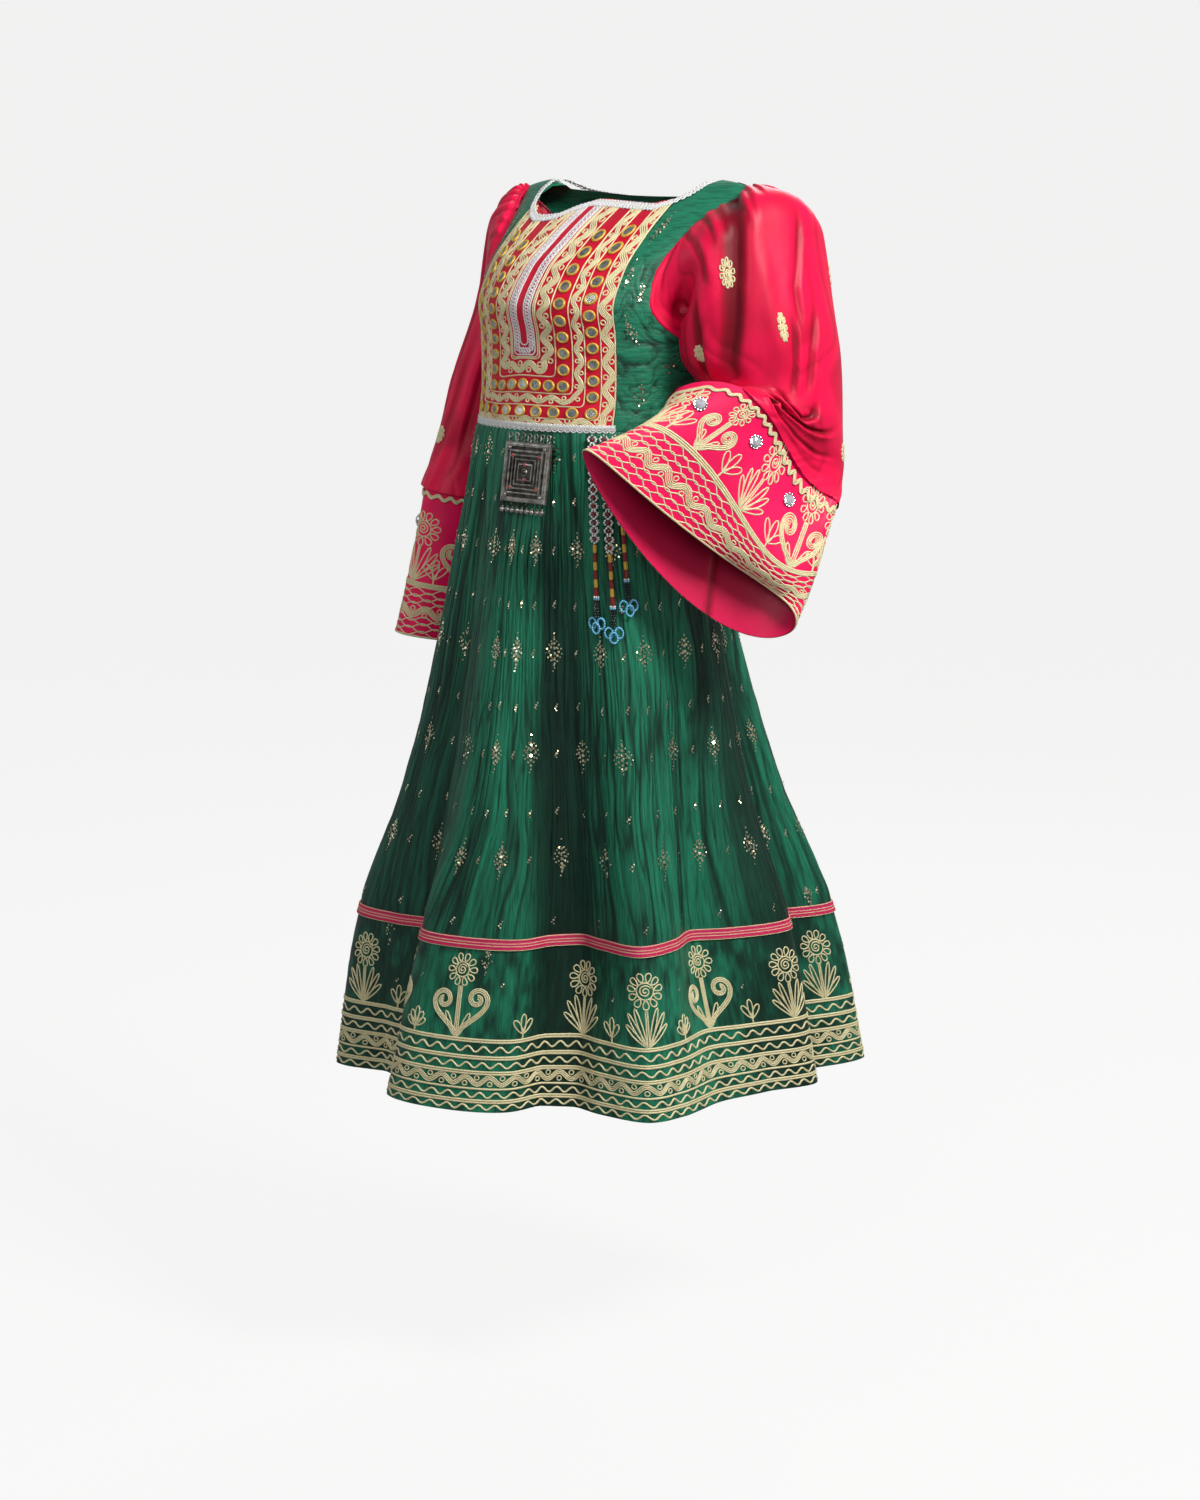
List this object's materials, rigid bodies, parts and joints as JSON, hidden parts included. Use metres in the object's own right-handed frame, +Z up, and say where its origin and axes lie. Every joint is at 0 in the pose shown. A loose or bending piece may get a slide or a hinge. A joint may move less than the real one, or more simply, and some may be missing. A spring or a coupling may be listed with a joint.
{
  "type": "long dress",
  "caption": "Long Afghan dress in worn shape: crinkled full skirt, mirror-work bib, gathered satin sleeves with bell cuffs, and a hanging square pendant.",
  "frame": {"origin": "midway between the shoulders, where the wearer's shoulders hold the dress", "axes": "+Z up along the dress, the wearer faces -Y, +X towards the wearer's left"},
  "size_m": [0.6004, 0.5323, 1.0621],
  "materials": {
    "green_taffeta": "crinkled dark green taffeta with a soft sheen",
    "red_satin": "smooth bright pinkish red satin",
    "bib_satin": "red satin covered with couched gold cord",
    "white_trim": "white looped edging braid",
    "pink_braid": "pink woven braid with gold threads",
    "gold_braid": "pale gold metallic rickrack",
    "silver_metal": "aged silvery metal with worn relief",
    "glass_bead": "opaque small glass beads in several colours",
    "crystal": "clear cut stone"
  },
  "bodies": {
    "dress": {"bead_strands": "glass_bead", "bib": "bib_satin", "bodice_back": "green_taffeta", "bodice_front_left": "green_taffeta", "bodice_front_right": "green_taffeta", "crystal_left_1": "crystal", "crystal_left_2": "crystal", "crystal_left_3": "crystal", "crystal_right_1": "crystal", "crystal_right_2": "crystal", "crystal_right_3": "crystal", "cuff_left": "red_satin", "cuff_right": "red_satin", "neck_trim": "white_trim", "rickrack_left": "gold_braid", "rickrack_right": "gold_braid", "skirt_back": "green_taffeta", "skirt_braid": "pink_braid", "skirt_front": "green_taffeta", "sleeve_left": "red_satin", "sleeve_right": "red_satin", "waist_trim": "white_trim"},
    "pendant": {"pendant": "silver_metal"}
  },
  "joints": [
    {"name": "pendant_swing", "type": "hinge", "parent": "dress", "child": "pendant", "pos_m": [0.024, -0.1851, -0.274], "axis": [-1, 0, 0], "range_deg": [0, 70]}
  ]
}
